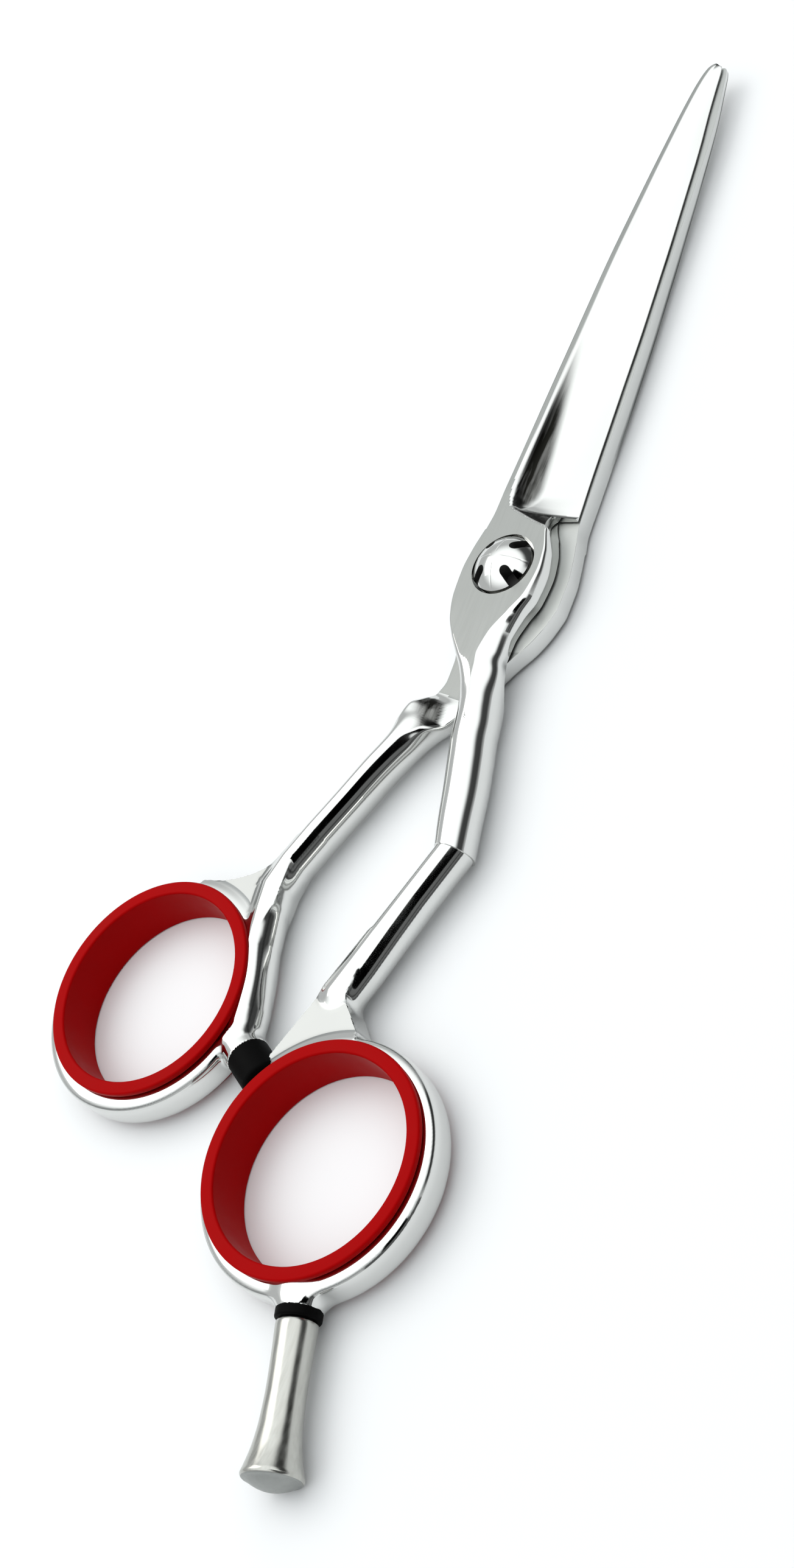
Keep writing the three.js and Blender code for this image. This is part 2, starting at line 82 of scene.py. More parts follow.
# ---- sizes of the fine shapes ----
FACE_GAP = 0.1  # each half stays this far from the meeting plane
BOSS_TOP = 2.6
BOSS_UNDER = 2.4
BAR_HALF_HEIGHT = 2.5
BAR_POWER = 24  # how closely a shank's section follows its tangents
BAR_SWELL = 1.028  # what that power adds to the section's size
# a quarter of a shank's section from its crown to its side: up to this slope, this radius of curvature
FINGER_UPPER = ((61, 2.75), (90, 2.0))
FINGER_LOWER = ((38, 1.25), (54, 3.7), (68, 2.4), (90, 1.6))
THUMB_SHANK = ((38, 0.75), (54, 1.8), (68, 5.9), (90, 2.0))
RING_BORE = 11.5
RING_DEPTH = 1.75
RING_HALF_HEIGHT = 1.9
RING_POWER = 4.0
FINGER_RING_SHIFT = np.array([0.2, -0.25])
THUMB_RING_SHIFT = np.array([-0.05, -0.4])
HOLE_TOP = 10.75
HOLE_BOTTOM = 10.7
COUNTERBORE = 3.75
COUNTERBORE_DEPTH = 1.6
PIVOT_HOLE = 2.9
NUT_RADIUS = 3.5
WEB = 1.6  # half height of the webs
TANG_HEADING = math.radians(-75)
TANG_SEAT = 13.7
BUMPER_SEAT = np.array([-9.0, -57.25])
BLADE_TIP = 70.8
HEEL_FROM, HEEL_END = 11, 7.0
STEP_Y = 7.5  # where the hollow grinding of a blade ends in a ramp
STEP_SLOPE = 0.75
EDGE_LAND = 0.12  # height of the land along the cutting edge
FINGER_KINK = (6.2, -32.9)
FINGER_KINK_HEADING = -94.5
THUMB_SEAM = (-11.3, -32.45)
THUMB_SEAM_HEADING = -115


# ---- curves ----
def smooth(points):
    """A monotone cubic through (position, value...) rows, as a function of position."""
    table = np.array(sorted(points), float)
    x, y = table[:, 0], table[:, 1:]
    h = np.diff(x)[:, None]
    slope = np.diff(y, axis=0) / h
    tangent = np.zeros_like(y)
    tangent[0], tangent[-1] = slope[0], slope[-1]
    for i in range(1, len(x) - 1):
        same = slope[i - 1] * slope[i] > 0
        w1 = 2 * h[i] + h[i - 1]
        w2 = h[i] + 2 * h[i - 1]
        mean = (w1 + w2) / (w1 / slope[i - 1] + w2 / slope[i])
        tangent[i] = np.where(same, mean, 0)

    def value(at):
        i = int(np.clip(np.searchsorted(x, at) - 1, 0, len(x) - 2))
        t = np.clip((at - x[i]) / (x[i + 1] - x[i]), 0, 1)
        step = x[i + 1] - x[i]
        found = (
            y[i] * (1 + 2 * t) * (1 - t) ** 2 + tangent[i] * step * t * (1 - t) ** 2
            + y[i + 1] * t * t * (3 - 2 * t) - tangent[i + 1] * step * t * t * (1 - t)
        )
        return float(found[0]) if len(found) == 1 else found

    return value


def ramp(value, start, end):
    """0 before start, 1 after end, with a smooth step between."""
    t = np.clip((value - start) / (end - start), 0, 1)
    return t * t * (3 - 2 * t)


# ---- meshes ----
def make_object(name, vertices, faces, materials, face_materials=None, sharp=30, tones=None):
    """A piece from vertices in mm; tones are values per vertex that its material reads."""
    mesh = new_mesh(name, vertices, faces)
    for material in materials:
        mesh.materials.append(material)
    if face_materials is not None:
        mesh.polygons.foreach_set("material_index", np.asarray(face_materials, np.int32))
    for tone, values in (tones or {}).items():
        store(mesh, tone, values)
    obj = new_object(name, mesh)
    finish_mesh(obj, sharp)
    return obj


def new_mesh(name, vertices, faces):
    mesh = bpy.data.meshes.new(name)
    mesh.from_pydata((np.asarray(vertices) * MM).tolist(), [], faces)
    return mesh


def new_object(name, data):
    obj = bpy.data.objects.new(name, data)
    bpy.context.scene.collection.objects.link(obj)
    return obj


def store(mesh, name, values):
    mesh.attributes.new(name, "FLOAT", "POINT").data.foreach_set("value", values.astype(np.float32))


def finish_mesh(obj, sharp):
    """Outward faces, smooth shading, and edges sharper than the given angle kept crisp."""
    built = bmesh.new()
    built.from_mesh(obj.data)
    bmesh.ops.remove_doubles(built, verts=built.verts, dist=1e-7)
    bmesh.ops.recalc_face_normals(built, faces=built.faces)
    for face in built.faces:
        face.smooth = True
    limit = math.radians(sharp)
    for edge in built.edges:
        edge.smooth = len(edge.link_faces) == 2 and edge.calc_face_angle() < limit
    built.to_mesh(obj.data)
    built.free()
    weighted = obj.modifiers.new("weighted", "WEIGHTED_NORMAL")
    weighted.keep_sharp = True
    weighted.weight = 90


def skin(rows):
    """Faces that join rows of equal count, each a closed loop, with a cap on both ends."""
    count, width = len(rows), len(rows[0])
    faces = []
    for r in range(count - 1):
        for i in range(width):
            j = (i + 1) % width
            faces.append((r * width + i, r * width + j, (r + 1) * width + j, (r + 1) * width + i))
    faces.append(tuple(reversed(range(width))))
    faces.append(tuple(range((count - 1) * width, count * width)))
    return np.concatenate(rows), faces


def lathe(outline, steps=96):
    """A solid of revolution about Z, from a closed outline of (radius, height)."""
    outline = np.array(outline, float)
    n = len(outline)
    vertices, faces = [], []
    for k in range(steps):
        angle = 2 * math.pi * k / steps
        vertices.append(np.c_[outline[:, :1] * [math.cos(angle), math.sin(angle)], outline[:, 1]])
        here, there = k * n, (k + 1) % steps * n
        for i in range(n):
            j = (i + 1) % n
            if outline[i, 0] > 0 or outline[j, 0] > 0:
                faces.append((here + i, there + i, there + j, here + j))
    return np.concatenate(vertices), faces


def cylinder(radius, low, high):
    """The outline of a plain cylinder, for lathe."""
    return [(0, low), (radius, low), (radius, high), (0, high)]


def rounded(corners, radii, steps=6):
    """A closed outline with its corners rounded by circular arcs."""
    corners = [np.array(c, float) for c in corners]
    points = []
    for i, corner in enumerate(corners):
        before, after = corners[i - 1], corners[(i + 1) % len(corners)]
        radius = radii[i]
        if radius == 0:
            points.append(corner)
            continue
        a, b = before - corner, after - corner
        a, b = a / np.linalg.norm(a), b / np.linalg.norm(b)
        half = math.acos(np.clip(a @ b, -1, 1)) / 2
        reach = radius / math.tan(half)
        for k in range(steps + 1):
            points.append(conic(corner + a * reach, corner, corner + b * reach, math.sin(half), k / steps))
    return points


def conic(start, corner, end, weight, t):
    a, b, c = (1 - t) ** 2, 2 * weight * t * (1 - t), t * t
    return (start * a + corner * b + end * c) / (a + b + c)


def laid(vertices, start, heading):
    """Turns a solid that stands on Z so that it lies along a heading in the plan."""
    x, y, z = vertices.T
    c, s = math.cos(heading), math.sin(heading)
    return np.c_[start[0] + z * c - y * s, start[1] + z * s + y * c, PLANE - x]


# ---- sections of a half ----
# columns on each rounded corner, on each wall, on the upper face and on the lower face
ARC, WALL, TOP, LOW = 14, 3, 50, 14
FIRST_TOP = 2 * (ARC + 1) + LOW + WALL + ARC
LAST_TOP = FIRST_TOP + TOP + 1
AROUND = 4 * (ARC + 1) + 2 * WALL + TOP + LOW
SIDE_STRETCH = 2.6  # how much further the right rounding reaches down the wall than across the face
SMALL_ROUNDING = 0.1  # up to this radius a rounding isn't stretched
ROUND = 0.7071  # the weight that makes a conic a quarter of a circle


def section(left, right, top, low, rounds):
    """A closed outline across a half. top and low give w as a function of the distance from the left."""
    left, right = np.array(left, float), np.array(right, float)
    span = np.linalg.norm(right - left)
    tiny = 0.01

    def arc(height, at, inward, radius, side, up):
        """From the wall to the face: the corner stands where the face's tangent meets the wall."""
        face_at = at + inward * radius
        slope = (height(face_at + tiny) - height(face_at - tiny)) / (2 * tiny)
        corner = np.array([at, height(face_at) - slope * inward * radius])
        wall = np.array([at, corner[1] - up * side])
        face = np.array([face_at, height(face_at)])
        return [conic(wall, corner, face, ROUND, k / ARC) for k in range(ARC + 1)]

    def face(height, start, end, count):
        places = [start[0] + (end[0] - start[0]) * k / (count + 1) for k in range(1, count + 1)]
        return [np.array([place, height(place)]) for place in places]

    def wall(start, end):
        return [start + (end - start) * (k / (WALL + 1)) for k in range(1, WALL + 1)]

    depth_left, depth_right = top(0) - low(0), top(span) - low(span)
    low_left, low_right, top_right, top_left = rounds
    stretched = top_right * SIDE_STRETCH if top_right > SMALL_ROUNDING else top_right
    # the two roundings of a wall always leave some of it between them
    top_side = min(stretched, 0.85 * depth_right - min(low_right, 0.4 * depth_right))
    a = arc(low, 0, 1, low_left, min(low_left, 0.46 * depth_left), -1)
    b = arc(low, span, -1, low_right, min(low_right, 0.46 * depth_right), -1)[::-1]
    c = arc(top, span, -1, top_right, top_side, 1)
    d = arc(top, 0, 1, top_left, min(top_left, 0.5 * depth_left), 1)[::-1]
    under = face(low, a[-1], b[0], LOW)
    over = face(top, c[-1], d[0], TOP)
    outline = np.array(a + under + b + wall(b[-1], c[0]) + c + over + d + wall(d[-1], a[0]))
    plan = left + (right - left) * (outline[:, :1] / span)
    return np.c_[plan, PLANE + outline[:, 1]]


def tangents(quarter):
    """Directions and distances of the tangents of a section, with half width and half height 1."""
    points, u, w, before = [(0.0, 0.0)], 0.0, 0.0, 0
    for until, radius in quarter:
        for degree in range(before, until):
            slope = math.radians(degree + 0.5)
            u += radius * math.cos(slope) * math.radians(1)
            w -= radius * math.sin(slope) * math.radians(1)
            points.append((u, w))
        before = until
    points = np.array(points)
    points = np.c_[points[:, 0] / u, (points[:, 1] - w) / -w]
    found = []
    for degree in range(-15, 106, 15):
        slope = math.radians(degree)
        normal = np.array([math.sin(slope), math.cos(slope)])
        found.append(normal / (points @ np.abs(normal)).max())
    return found


def bar_size(quarter, u, w):
    """1 on a shank's section, where u and w are in half widths and half heights."""
    u, w = np.abs(u), np.abs(w)
    total = sum(np.maximum(u * a + w * b, 0) ** BAR_POWER for a, b in TANGENTS[quarter])
    return total ** (1 / BAR_POWER) / BAR_SWELL


TANGENTS = {quarter: tangents(quarter) for quarter in (FINGER_UPPER, FINGER_LOWER, THUMB_SHANK)}


def to_bar(quarter, row, left, right, half_height, share):
    """Moves a section towards the shank's section of that width, about its middle."""
    left, right = np.array(left), np.array(right)
    middle = (left + right) / 2
    half_width = np.linalg.norm(right - left) / 2
    across = (right - left) / (2 * half_width)
    u = (row[:, :2] - middle) @ across
    w = row[:, 2] - PLANE
    k = 1 + share * (1 / bar_size(quarter, u / half_width, w / half_height) - 1)
    return np.c_[middle + np.outer(u * k, across), PLANE + w * k]


# ---- a blade: a flat strip along the spine, a bright one, the hollow, and the face down to the edge ----
FLAT_WIDTH = smooth([(4, 3.4), (7.2, 1.8), (9, 1.1), (12, 0.75), (16, 0.7), (30, 0.7), (71, 0.5)])
BRIGHT_STRIP = 0.3
BRIGHT_DROP = 0.1
HOLLOW_WIDTH = smooth([(7, 0.3), (7.6, 0.8), (8.4, 1.8), (9.6, 2.5), (11, 2.75), (13, 2.6), (20, 1.75),
                       (28, 1.0), (36, 0.5), (71, 0.3)])
HOLLOW_DROP = smooth([(7, 0.2), (8.4, 1.0), (10, 1.45), (13, 1.5), (20, 1.1), (26, 0.5), (32, 0.15),
                      (71, 0.05)])


def ground_face(y, width, ridge, boss_top):
    """The height of a blade's upper face, by the distance from the spine. It ends in a ramp at the boss."""
    flat = min(FLAT_WIDTH(y), 0.3 * width)
    strip = min(BRIGHT_STRIP, 0.2 * width)
    reach = min(HOLLOW_WIDTH(y), 0.4 * width)
    drop = min(HOLLOW_DROP(y), 0.6 * ridge)
    begin = flat + strip
    rest = ridge - BRIGHT_DROP - drop - FACE_GAP - EDGE_LAND
    on_ramp = STEP_SLOPE * max(0.0, STEP_Y - y)

    def height(a):
        fall = np.clip((a - flat - strip) / reach, 0, 1)
        t = np.clip((a - begin) / (width - begin), 0, 1)
        surface = ridge - BRIGHT_DROP * ramp(a, flat, flat + strip) - drop * (1 - (1 - fall) ** 1.7)
        return min(boss_top, surface - rest * t - 0.15 * rest * math.sin(math.pi * t) + on_ramp)

    return height


def blade_rows(spine, edge, ridge, boss_right, boss_top):
    rows = []
    for y in blade_stations():
        on_blade = y > HEEL_END
        left = spine(y)
        right = edge(y) if on_blade else boss_right(y)
        top = ground_face(y, edge(max(y, HEEL_END)) - left, ridge(y), boss_top)
        rounds = (0.03, 0.03, 0.03 if on_blade else 0.35, 0.18)
        rows.append(section((left, y), (right, y), top, lambda a: FACE_GAP, rounds))
    return rows


def blade_stations():
    """Places for rows from the tip to the boss, close together at the tip and at the heel."""
    tip_part = BLADE_TIP - 2.6 * (np.linspace(0, 1, 14) ** 2)
    body = np.arange(tip_part[-1] - 0.5, HEEL_FROM, -0.6)
    heel = np.arange(HEEL_FROM, 4.5, -0.12)
    at_step = [HEEL_END + 0.02, HEEL_END - 0.02]
    return np.array(sorted(set(np.round(np.r_[tip_part, body, heel, at_step], 3)), reverse=True))


# ---- key sections of the boss, neck and shank, and their smooth interpolation ----
def key(left, right, top, low_left, low_right, rounds, crown=0.0, bar_share=0.0):
    """One section: its ends in the plan, its heights, its four roundings and its share of the shank's."""
    return np.array([*left, *right, top, low_left, low_right, *rounds, crown, bar_share], float)


def bar(x, y, heading, half_width, half_height=BAR_HALF_HEIGHT):
    """A section of the shank, square to its heading."""
    angle = math.radians(heading)
    across = np.array([-math.sin(angle), math.cos(angle)]) * half_width
    centre = np.array([x, y])
    low = -half_height
    return key(centre - across, centre + across, half_height, low, low, [1.3] * 4, 0.2, 1.0)


def key_rows(quarter, keys):
    """Rows between key sections, by a smooth curve through all their values."""
    middles = np.array([(k[:2] + k[2:4]) / 2 for k in keys])
    along = np.r_[0, np.cumsum(np.linalg.norm(np.diff(middles, axis=0), axis=1))]
    curve = smooth([(s, *k) for s, k in zip(along, keys)])
    count = int(along[-1] / 0.25) + 1
    return [key_row(quarter, curve(s)) for s in np.linspace(0, along[-1], count)]


def key_row(quarter, values):
    left, right = values[:2], values[2:4]
    height, low_left, low_right, *rounds, crown, bar_share = values[4:]
    span = np.linalg.norm(right - left)

    def top(a):
        return height - crown * (2 * a / span - 1) ** 2

    def low(a):
        return low_left + (low_right - low_left) * ramp(a / span, 0.05, 0.95)

    row = section(left, right, top, low, rounds)
    return to_bar(quarter, row, left, right, height, bar_share) if bar_share > 0 else row


# ---- implicit shapes ----
def blend(a, b, radius):
    h = np.clip(0.5 + 0.5 * (b - a) / radius, 0, 1)
    return b + (a - b) * h - radius * h * (1 - h)


def superellipse(u, w, half_width, half_height, power):
    size = (np.abs(u / half_width) ** power + np.abs(w / half_height) ** power) ** (1 / power)
    return (size - 1) * np.minimum(half_width, half_height)


def bar_chain(quarter, points, stations):
    """Straight bars between stations (x, y, half width, half height), mitred where they meet."""
    x, y, w = points
    stations = np.array(stations, float)
    starts, ends = stations[:-1], stations[1:]
    directions = (ends - starts)[:, :2]
    lengths = np.linalg.norm(directions, axis=1)
    directions = directions / lengths[:, None]
    field = np.full(x.shape, 1e3)

    def past(place, first, second):
        """How far points are past the mitre of two bars."""
        mitre = directions[first] + directions[second]
        mitre = mitre / np.linalg.norm(mitre)
        return (x - place[0]) * mitre[0] + (y - place[1]) * mitre[1]

    for i, (start, end) in enumerate(zip(starts, ends)):
        d = directions[i]
        along = (x - start[0]) * d[0] + (y - start[1]) * d[1]
        u = (x - start[0]) * -d[1] + (y - start[1]) * d[0]
        t = np.clip(along / lengths[i], -0.2, 1.2)
        half_width = start[2] + (end[2] - start[2]) * t
        half_height = start[3] + (end[3] - start[3]) * t
        shape = (bar_size(quarter, u / half_width, w / half_height) - 1) * half_width
        before, after = -past(start, max(i - 1, 0), i), past(end, i, min(i + 1, len(starts) - 1))
        field = np.minimum(field, np.maximum(shape, np.maximum(before, after)))
    return field


def bar_end(quarter, points, station):
    """The round end of a shank: its section turned about an upright axis."""
    x, y, w = points
    radius = np.hypot(x - station[0], y - station[1])
    return (bar_size(quarter, radius / station[2], w / station[3]) - 1) * station[2]


def ring_shape(points, centre, shift):
    x, y, w = points
    radius = np.hypot(x - centre[0] - shift[0], y - centre[1] - shift[1])
    return superellipse(radius - RING_BORE, w, RING_DEPTH, RING_HALF_HEIGHT, RING_POWER)


def rod_shape(points, start, heading, radius, low, high):
    x, y, w = points
    c, s = math.cos(heading), math.sin(heading)
    along = (x - start[0]) * c + (y - start[1]) * s
    off = np.hypot(-(x - start[0]) * s + (y - start[1]) * c, w)
    return np.maximum(off - radius, np.maximum(low - along, along - high))


def web_shape(points, outline, half_height):
    """A flat web: the signed distance to its plan outline, cut by its two faces."""
    x, y, w = points
    outline = np.array(outline, float)
    distance = np.full(x.shape, 1e6)
    inside = np.zeros(x.shape, bool)
    for (ax, ay), (bx, by) in zip(outline, np.roll(outline, -1, axis=0)):
        dx, dy = bx - ax, by - ay
        t = np.clip(((x - ax) * dx + (y - ay) * dy) / (dx * dx + dy * dy), 0, 1)
        distance = np.minimum(distance, np.hypot(x - ax - t * dx, y - ay - t * dy))
        crosses = (ay > y) != (by > y)
        left_of = x < (bx - ax) * (y - ay) / (by - ay) + ax
        inside ^= crosses & left_of
    return np.maximum(np.where(inside, -distance, distance), np.abs(w) - half_height)


def bezier(start, control, end, count=8):
    start, control, end = np.array(start), np.array(control), np.array(end)
    steps = [k / count for k in range(count + 1)]
    return [tuple(start * (1 - t) ** 2 + control * 2 * t * (1 - t) + end * t * t) for t in steps]


def surface_of(shape, low, high):
    """A quad mesh of the surface where shape is 0, by surface nets, then moved onto the surface."""
    axes = [np.arange(a, b + GRID, GRID) for a, b in zip(low, high)]
    x, y, w = np.meshgrid(*axes, indexing="ij")
    field = shape((x.ravel(), y.ravel(), w.ravel())).reshape(x.shape).astype(np.float32)
    inside = field < 0
    cells = [n - 1 for n in field.shape]

    def corner(array, i, j, k):
        return array[i:i + cells[0], j:j + cells[1], k:k + cells[2]]

    corners = list(np.ndindex(2, 2, 2))
    filled = sum(corner(inside, *c).astype(np.int8) for c in corners)
    active = (filled > 0) & (filled < 8)
    number = np.full(cells, -1)
    number[active] = np.arange(active.sum())
    total = np.zeros((active.sum(), 3))
    crossings = np.zeros(active.sum())
    for axis in range(3):
        for c in [c for c in corners if not c[axis]]:
            other = list(c)
            other[axis] = 1
            f0, f1 = corner(field, *c)[active], corner(field, *other)[active]
            crossed = (f0 < 0) != (f1 < 0)
            place = np.tile(np.array(c, float), (len(f0), 1))
            place[:, axis] += np.where(crossed, f0 / (f0 - f1), 0)
            total[crossed] += place[crossed]
            crossings[crossed] += 1
    cell = np.argwhere(active)
    vertices = (cell + total / crossings[:, None]) * GRID + np.array(low)
    faces = []
    for axis in range(3):
        here, ids = np.moveaxis(inside, axis, 0), np.moveaxis(number, axis, 0)
        change = here[:-1, 1:-1, 1:-1] != here[1:, 1:-1, 1:-1]
        quads = np.stack([ids[:, :-1, :-1], ids[:, 1:, :-1], ids[:, 1:, 1:], ids[:, :-1, 1:]], -1)
        chosen = quads[change]
        faces.append(chosen[(chosen >= 0).all(axis=1)])
    faces = np.concatenate(faces)
    for _ in range(4):
        value, gradient = value_and_gradient(shape, vertices)
        size = np.maximum((gradient ** 2).sum(1), 0.1)
        move = gradient * (value / size)[:, None]
        length = np.linalg.norm(move, axis=1, keepdims=True)
        vertices = vertices - move * np.minimum(1, 0.1 / np.maximum(length, 1e-9))
    vertices[:, 2] += PLANE
    return vertices, [tuple(f) for f in faces.tolist()]


def value_and_gradient(shape, vertices):
    gradient = np.zeros_like(vertices)
    tiny = 0.01
    for axis, step in enumerate(np.eye(3) * tiny):
        rise = shape(tuple((vertices + step).T)) - shape(tuple((vertices - step).T))
        gradient[:, axis] = rise / (2 * tiny)
    return shape(tuple(vertices.T)), gradient


# ---- materials ----
def node_material(name, color, metallic, roughness):
    material = bpy.data.materials.new(name)
    material.use_nodes = True
    tree = material.node_tree
    shader = tree.nodes["Principled BSDF"]
    shader.inputs["Base Color"].default_value = (*color, 1)
    shader.inputs["Metallic"].default_value = metallic
    shader.inputs["Roughness"].default_value = roughness
    return material, tree, shader


def node(tree, kind, inputs, **settings):
    """The outputs of a new node. Each of its inputs is a value or another node's output."""
    made = tree.nodes.new(kind)
    for name, value in settings.items():
        setattr(made, name, value)
    for name, value in inputs.items():
        if isinstance(value, bpy.types.NodeSocket):
            tree.links.new(value, made.inputs[name])
        else:
            made.inputs[name].default_value = value
    return made.outputs


def add_noise(tree, scale, detail=3, stretch=(1, 1, 1), turn=0.0):
    place = node(tree, "ShaderNodeTexCoord", {})["Object"]
    place = node(tree, "ShaderNodeMapping", {"Vector": place, "Scale": stretch, "Rotation": (0, 0, turn)})
    inputs = {"Vector": place["Vector"], "Scale": scale, "Detail": detail}
    return node(tree, "ShaderNodeTexNoise", inputs)["Fac"]


def map_to(tree, source, low, high, start=0.3, end=0.7, kind="LINEAR"):
    """A value that goes from low to high as the source goes from start to end."""
    inputs = {"Value": source, "From Min": start, "From Max": end, "To Min": low, "To Max": high}
    return node(tree, "ShaderNodeMapRange", inputs, interpolation_type=kind)["Result"]


def mix(tree, factor, first, second):
    """A mix of two colours, each of them plain or made by other nodes."""
    first, second = [(*c, 1) if isinstance(c, tuple) else c for c in (first, second)]
    inputs = {"Factor": factor, "A": first, "B": second}
    return node(tree, "ShaderNodeMix", inputs, data_type="RGBA")["Result"]


def stored(tree, name):
    """A value stored on the mesh."""
    return node(tree, "ShaderNodeAttribute", {}, attribute_name=name)["Fac"]


def feed(shader, name, source):
    shader.id_data.links.new(source, shader.inputs[name])


def add_bump(tree, shader, height, strength, distance):
    inputs = {"Height": height, "Strength": strength, "Distance": distance}
    feed(shader, "Normal", node(tree, "ShaderNodeBump", inputs)["Normal"])


def polished_steel():
    """Mirror polish with faint buffing marks and slight unevenness of tone and gloss. It is plain grey
    where the mesh says so, and painted near-black with bright streaks where the mesh's dark tone says so:
    painted shade and painted dark reflections."""
    material, tree, shader = node_material("polished_steel", (0.66, 0.665, 0.65), 1.0, 0.06)
    cloud = add_noise(tree, 90, 4)
    tint = mix(tree, cloud, (0.64, 0.645, 0.625), (0.69, 0.695, 0.685))
    streaks = add_noise(tree, 1500, 4, (1, 0.06, 1), 0.02)
    streak = map_to(tree, streaks, 0, 1, 0.45, 0.8)
    # painted shade and painted dark reflections: near-black with bright streaks, where the dark tone says
    painted_shade = mix(tree, streak, (0.012, 0.012, 0.01), (0.26, 0.26, 0.25))
    grey = mix(tree, cloud, (0.29, 0.3, 0.295), (0.32, 0.33, 0.325))
    plain = mix(tree, stored(tree, "grey"), tint, grey)
    feed(shader, "Base Color", mix(tree, stored(tree, "dark"), plain, painted_shade))
    wear = add_noise(tree, 700, 5, (1, 0.12, 1), 0.2)
    feed(shader, "Roughness", map_to(tree, wear, 0.045, 0.1))
    ripple = add_noise(tree, 160, 2)
    add_bump(tree, shader, ripple, 0.05, 0.00004)
    return material


def satin_steel():
    """The flat round the pivot and the strip along the spine: fine linear grain, softer gloss."""
    material, tree, shader = node_material("satin_steel", (0.3, 0.31, 0.3), 1.0, 0.4)
    cloud = add_noise(tree, 120, 4)
    tint = mix(tree, cloud, (0.285, 0.295, 0.285), (0.33, 0.34, 0.33))
    feed(shader, "Base Color", tint)
    grain = add_noise(tree, 2600, 3, (1, 0.05, 1), 0.15)
    feed(shader, "Roughness", map_to(tree, grain, 0.34, 0.46))
    add_bump(tree, shader, grain, 0.12, 0.00002)
    return material


def ground_steel():
    """The inner faces: ground, with fine marks along the blade."""
    material, tree, shader = node_material("ground_steel", (0.45, 0.46, 0.45), 1.0, 0.42)
    grain = add_noise(tree, 2600, 3, (1, 0.05, 1), 0.02)
    tint = mix(tree, grain, (0.43, 0.445, 0.43), (0.49, 0.5, 0.49))
    feed(shader, "Base Color", tint)
    feed(shader, "Roughness", map_to(tree, grain, 0.36, 0.5))
    return material


def grip_steel():
    """The finger rest: drawn along its length, between satin and mirror."""
    material, tree, shader = node_material("grip_steel", (0.55, 0.55, 0.52), 1.0, 0.2)
    grain = add_noise(tree, 2400, 4, (1, 0.04, 1), TANG_HEADING + math.pi / 2)
    tint = mix(tree, grain, (0.36, 0.36, 0.33), (0.56, 0.56, 0.53))
    feed(shader, "Base Color", tint)
    feed(shader, "Roughness", map_to(tree, grain, 0.14, 0.26))
    add_bump(tree, shader, grain, 0.15, 0.00002)
    return material


def mottled(name, color, metallic, roughness, scale, first, second):
    """A plain material whose colour clouds between two tones."""
    material, tree, shader = node_material(name, color, metallic, roughness)
    cloud = add_noise(tree, scale, 4)
    feed(shader, "Base Color", mix(tree, cloud, first, second))
    return material


def slot_black():
    """The slots of the screw: nearly black, with a faint mottle."""
    dark, light = (0.004, 0.004, 0.004), (0.02, 0.019, 0.018)
    return mottled("slot_black", (0.01, 0.01, 0.01), 0.0, 0.6, 1800, dark, light)


def bronze():
    return mottled("bearing_bronze", (0.6, 0.42, 0.2), 1.0, 0.32, 900, (0.5, 0.34, 0.16), (0.66, 0.48, 0.24))


def nylon():
    return mottled("white_nylon", (0.85, 0.84, 0.8), 0.0, 0.45, 700, (0.78, 0.77, 0.73), (0.88, 0.87, 0.84))


def turned_steel():
    """Lathe-turned steel: fine rings about the pivot axis."""
    material, tree, shader = node_material("turned_steel", (0.55, 0.56, 0.55), 1.0, 0.28)
    inputs = {"Vector": node(tree, "ShaderNodeTexCoord", {})["Object"], "Scale": 1400, "Distortion": 0.6}
    wave = node(tree, "ShaderNodeTexWave", inputs, wave_type="RINGS", rings_direction="Z")["Fac"]
    tint = mix(tree, wave, (0.5, 0.51, 0.5), (0.6, 0.61, 0.6))
    feed(shader, "Base Color", tint)
    feed(shader, "Roughness", map_to(tree, wave, 0.22, 0.36, 0, 1))
    return material


def rubber(name, dark, light, rough_low, rough_high):
    """Moulded rubber: slight mottling, fine matte texture."""
    material, tree, shader = node_material(name, light, 0.0, rough_high)
    shader.inputs["Specular IOR Level"].default_value = 0.03
    cloud = add_noise(tree, 260, 5)
    feed(shader, "Base Color", mix(tree, cloud, dark, light))
    feed(shader, "Roughness", map_to(tree, cloud, rough_low, rough_high))
    grain = add_noise(tree, 2200, 3)
    add_bump(tree, shader, grain, 0.1, 0.00003)
    return material


POLISHED = polished_steel()
SATIN = satin_steel()
GROUND = ground_steel()
TURNED = turned_steel()
SLOT_BLACK = slot_black()
RED = rubber("red_rubber", (0.3, 0.0, 0.0), (0.345, 0.0, 0.001), 0.35, 0.5)
BLACK = rubber("black_rubber", (0.001, 0.001, 0.001), (0.003, 0.003, 0.003), 0.45, 0.6)
GRIP = grip_steel()


# ---- finger half ----
FLATNESS = 0.012  # how far off a level a face may be and still count as lying on it
# places along Y
NECK_FROM = -9
BLADE_FROM = 4.4
RIDGE_FROM = 9
HOLLOW_FADES = 20, 32
STRIP_BEGINS = 14, 20
OUTER_EDGE_BEGINS = 16, 26
SHANK_STEP = -20.6, -15.5


def steel_faces(vertices, faces, level):
    """Satin for the boss's flat and the strip along the spine, and the darker satin on the neck's inner face
    as painted shade; ground for the rest of the inner face."""
    marks = []
    w = vertices[:, 2] - PLANE
    for index, face in enumerate(faces):
        cap = index >= len(faces) - 2
        on_top = FIRST_TOP <= index % AROUND <= LAST_TOP + 1
        flat = on_top and all(abs(w[v] - level(vertices[v, 1])) < FLATNESS for v in face)
        inner = all(abs(w[v] - FACE_GAP) < FLATNESS for v in face)
        at_neck = vertices[face[0], 1] < NECK_FROM
        # the neck's inner face takes the darker satin as painted shade
        marks.append(0 if cap else 1 if flat or inner and at_neck else 2 if inner else 0)
    return marks


